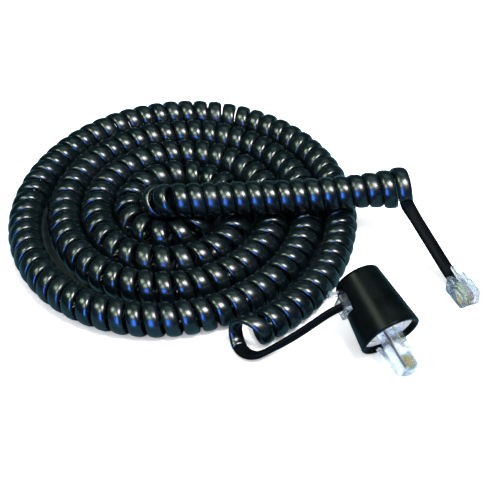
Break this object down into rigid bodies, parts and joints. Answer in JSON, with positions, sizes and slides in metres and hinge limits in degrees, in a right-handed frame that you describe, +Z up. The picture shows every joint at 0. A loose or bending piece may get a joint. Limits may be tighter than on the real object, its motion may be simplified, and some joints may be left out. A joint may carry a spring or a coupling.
{
  "type": "coiled controller cord",
  "caption": "Retractile four-conductor cord lying in loops, with a clear modular plug at one end and a tapered turning detangler with its own plug at the other.",
  "frame": {"origin": "on the floor, under the middle of the assembly's bounding box", "axes": "+Z up; +X to the viewer's right and +Y away from the viewer, as the cord lies; the top run of the coil heads 3 degrees off +X"},
  "size_m": [0.18, 0.1574, 0.0275],
  "materials": {
    "jacket": "glossy black PVC cable jacket",
    "clear_plastic": "clear polycarbonate",
    "insulation_black": "satin wire insulation",
    "insulation_red": "satin wire insulation",
    "insulation_green": "satin wire insulation",
    "insulation_yellow": "satin wire insulation",
    "plated_contacts": "gold-plated, bright",
    "spring_wire": "bright spring wire",
    "slip_ring": "turned, satin",
    "housing": "polished black ABS",
    "insert": "moulded black",
    "white_plastic": "moulded off-white"
  },
  "bodies": {
    "cord": {"coil_pile": "jacket", "coil_top_run": "jacket", "swivel_tail": "jacket", "side_plug_body": "clear_plastic", "side_plug_contacts": "plated_contacts", "side_plug_wedge": "clear_plastic", "side_lead_black": "insulation_black", "side_lead_red": "insulation_red", "side_lead_green": "insulation_green", "side_lead_yellow": "insulation_yellow"},
    "side_latch": {"side_plug_latch": "clear_plastic"},
    "controller_end": {"controller_tail": "jacket", "ctrl_plug_body": "clear_plastic", "ctrl_plug_contacts": "plated_contacts", "ctrl_plug_wedge": "clear_plastic", "ctrl_lead_black": "insulation_black", "ctrl_lead_red": "insulation_red", "ctrl_lead_green": "insulation_green", "ctrl_lead_yellow": "insulation_yellow"},
    "controller_latch": {"ctrl_plug_latch": "clear_plastic"},
    "swivel": {"swivel_housing": "housing", "jack_insert": "insert", "retaining_ring": "white_plastic", "jack_spring_1": "spring_wire", "jack_spring_2": "spring_wire", "jack_spring_3": "spring_wire", "jack_spring_4": "spring_wire"},
    "rotor": {"rotor_hub": "white_plastic", "swivel_plug_body": "clear_plastic", "swivel_plug_contacts": "plated_contacts", "slip_ring_1": "slip_ring", "slip_ring_2": "slip_ring", "slip_ring_3": "slip_ring", "slip_ring_4": "slip_ring", "rotor_lead_black": "insulation_black", "rotor_lead_red": "insulation_red", "rotor_lead_green": "insulation_green", "rotor_lead_yellow": "insulation_yellow"},
    "rotor_latch": {"swivel_plug_latch": "clear_plastic"}
  },
  "joints": [
    {"name": "coil_stretch", "type": "slide", "parent": "cord", "child": "controller_end", "axis": [0.9986, 0.0523, 0], "range_m": [0, 0.12]},
    {"name": "controller_latch_press", "type": "hinge", "parent": "controller_end", "child": "controller_latch", "pos_m": [0.08613, -0.03741, 0.00715], "axis": [-0.9135, -0.4067, 0], "range_deg": [0, 8], "stiffness_Nm_per_rad": 0.0003},
    {"name": "swivel_unplug", "type": "slide", "parent": "cord", "child": "swivel", "axis": [0.8746, 0.4848, 0], "range_m": [0, 0.014]},
    {"name": "side_latch_press", "type": "hinge", "parent": "cord", "child": "side_latch", "pos_m": [0.04423, -0.0474, 0.01789], "axis": [0.1658, -0.2991, 0.9397], "range_deg": [0, 8], "stiffness_Nm_per_rad": 0.0003},
    {"name": "rotor_spin", "type": "hinge", "parent": "swivel", "child": "rotor", "pos_m": [0.0425, -0.04283, 0.01965], "axis": [0.4556, -0.8219, -0.342], "continuous": true},
    {"name": "rotor_latch_press", "type": "hinge", "parent": "rotor", "child": "rotor_latch", "pos_m": [0.05771, -0.07588, 0.00355], "axis": [0.5012, 0.5543, -0.6645], "range_deg": [0, 8], "stiffness_Nm_per_rad": 0.0003}
  ]
}
